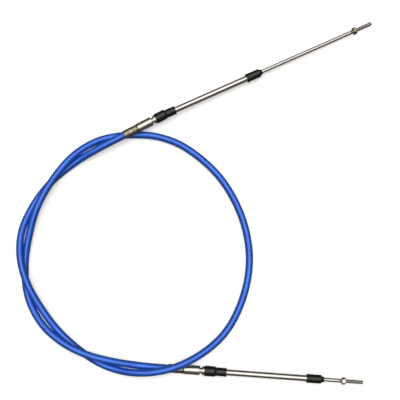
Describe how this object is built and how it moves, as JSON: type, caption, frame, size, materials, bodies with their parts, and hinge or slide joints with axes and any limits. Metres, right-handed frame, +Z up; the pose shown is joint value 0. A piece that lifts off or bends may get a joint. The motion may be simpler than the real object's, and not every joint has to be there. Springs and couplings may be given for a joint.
{
  "type": "boat steering cable",
  "caption": "Push-pull boat steering cable: jacketed conduit with a crimped hub, swivelling sleeve and threaded sliding rod on each end.",
  "frame": {"origin": "on the floor under the middle of the box round the two end sets, which leaves out the free conduit", "axes": "+Z up from the floor; +X towards the threaded rod ends; +Y from end b towards end a"},
  "size_m": [0.4639, 0.4744, 0.0226],
  "materials": {
    "blue_jacket": "satin extruded plastic jacket, faintly ribbed by the wires under it",
    "core_steel": "bare swaged steel cable",
    "crimped_steel": "stainless steel, dull and slightly brown where it is crimped",
    "polished_steel": "polished stainless steel",
    "black_rubber": "matte moulded rubber with a soft grey highlight",
    "olive_zinc": "dark yellow-olive passivated zinc plating",
    "bright_zinc": "bright zinc plating"
  },
  "bodies": {
    "conduit_and_hubs": {"conduit": "blue_jacket", "core_cable": "core_steel", "hub_a": "crimped_steel", "hub_b": "crimped_steel", "swivel_boot_a": "black_rubber", "swivel_boot_b": "black_rubber"},
    "swivel_sleeve_a": {"sleeve_a": "polished_steel", "wiper_seal_a": "black_rubber"},
    "swivel_sleeve_b": {"sleeve_b": "polished_steel", "wiper_seal_b": "black_rubber"},
    "end_rod_a": {"rod_a": "polished_steel"},
    "end_rod_b": {"rod_b": "polished_steel"},
    "nut_a": {"jam_nut_a": "olive_zinc"},
    "nut_b": {"jam_nut_b": "bright_zinc"}
  },
  "joints": [
    {"name": "swivel_a", "type": "hinge", "parent": "conduit_and_hubs", "child": "swivel_sleeve_a", "pos_m": [-0.11369, 0.10892, 0.0138], "axis": [0, 0, 1], "range_deg": [-4.6, 11.4], "deforming": ["swivel_boot_a", "core_cable"]},
    {"name": "swivel_b", "type": "hinge", "parent": "conduit_and_hubs", "child": "swivel_sleeve_b", "pos_m": [-0.0494, -0.22004, 0.00666], "axis": [0, 0, 1], "range_deg": [-8, 8], "deforming": ["swivel_boot_b", "core_cable"]},
    {"name": "rod_a_slide", "type": "slide", "parent": "swivel_sleeve_a", "child": "end_rod_a", "axis": [0.9095, 0.4143, -0.0346], "range_m": [-0.1103, 0], "deforming": ["core_cable"]},
    {"name": "rod_b_slide", "type": "slide", "parent": "swivel_sleeve_b", "child": "end_rod_b", "axis": [0.9973, -0.0727, -0.0072], "range_m": [0, 0.1103], "deforming": ["core_cable"]},
    {"name": "nut_a_turn", "type": "hinge", "parent": "end_rod_a", "child": "nut_a", "pos_m": [0.14115, 0.225, 0.0041], "axis": [0.9095, 0.4143, -0.0346], "continuous": true},
    {"name": "nut_b_turn", "type": "hinge", "parent": "end_rod_b", "child": "nut_b", "pos_m": [0.12005, -0.23239, 0.00544], "axis": [0.9973, -0.0727, -0.0072], "continuous": true}
  ],
  "couplings": [
    {"joint": "rod_b_slide", "follows": "rod_a_slide", "ratio": -1}
  ]
}
